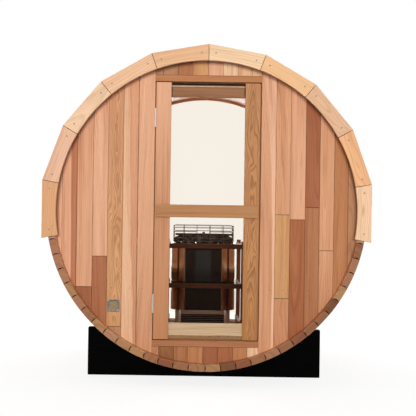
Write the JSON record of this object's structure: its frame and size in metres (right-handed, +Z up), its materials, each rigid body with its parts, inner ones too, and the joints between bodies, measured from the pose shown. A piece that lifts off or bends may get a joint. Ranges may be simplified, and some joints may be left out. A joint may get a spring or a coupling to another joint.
{
  "type": "barrel sauna",
  "caption": "Round barrel sauna of cedar staves on black cradles, with a hinged glazed door, faceted roof, glass rear wall, slatted benches and a guarded stone heater.",
  "frame": {"origin": "centre of the overall box, on the ground under the cradles", "axes": "+Z up, front wall and door facing -Y, barrel's axis along Y, +X to the right when facing the door"},
  "size_m": [1.872, 1.874, 1.9504],
  "materials": {
    "stave_cedar": "planed cedar, end grain darker",
    "roof_cedar": "planed cedar boards",
    "fascia_cedar": "pale planed cedar",
    "stainless_band": "rolled stainless strip",
    "wall_cedar": "planed tongue and groove cedar",
    "frame_cedar": "planed cedar",
    "door_cedar": "planed cedar",
    "inner_cedar": "planed cedar",
    "bench_cedar": "planed clear cedar",
    "guard_cedar": "dark stained cedar",
    "zinc_plate": "galvanised plate",
    "vent_wood": "turned cedar",
    "clear_glass": "clear tempered glass",
    "black_timber": "black painted timber",
    "heater_steel": "polished stainless sheet",
    "black_enamel": "black enamel",
    "heater_stone": "rough dark stone",
    "hinge_steel": "zinc plated steel"
  },
  "bodies": {
    "shell": {"staves_crown_left": "stave_cedar", "staves_shoulder_left": "stave_cedar", "staves_flank_left": "stave_cedar", "staves_belly_left": "stave_cedar", "staves_crown_right": "stave_cedar", "staves_shoulder_right": "stave_cedar", "staves_flank_right": "stave_cedar", "staves_belly_right": "stave_cedar", "roof_left": "roof_cedar", "roof_right": "roof_cedar", "fascia_front_left": "fascia_cedar", "fascia_front_right": "fascia_cedar", "fascia_rear_left": "fascia_cedar", "fascia_rear_right": "fascia_cedar", "hoops": "stainless_band", "hoop_clamps": "stainless_band", "wall_left": "wall_cedar", "wall_right": "wall_cedar", "wall_above_door": "wall_cedar", "wall_below_door": "wall_cedar", "door_frame_rails": "frame_cedar", "door_stops": "inner_cedar", "vent_plate": "zinc_plate", "vent_plug": "vent_wood", "rear_glass": "clear_glass", "cradle_front": "black_timber", "cradle_rear": "black_timber", "cradle_runners": "black_timber", "floor_boards": "inner_cedar", "floor_bearers": "inner_cedar", "bench_left_slats": "bench_cedar", "bench_left_frame": "inner_cedar", "bench_right_slats": "bench_cedar", "bench_right_frame": "inner_cedar", "heater_base": "heater_steel", "heater_louvre": "black_enamel", "heater_casing": "heater_steel", "heater_panel": "black_enamel", "heater_cage": "heater_steel", "heater_stones": "heater_stone", "guard_posts": "guard_cedar", "guard_rails": "guard_cedar", "hinge_leaves_frame": "hinge_steel", "hinge_pins": "hinge_steel"},
    "door": {"door_stiles": "door_cedar", "door_rails": "door_cedar", "door_glass": "clear_glass", "door_handle": "door_cedar", "hinge_leaves_door": "hinge_steel"}
  },
  "joints": [
    {"name": "door_swing", "type": "hinge", "parent": "shell", "child": "door", "pos_m": [-0.301, -0.863, 1], "axis": [0, 0, -1], "range_deg": [0, 135]}
  ]
}
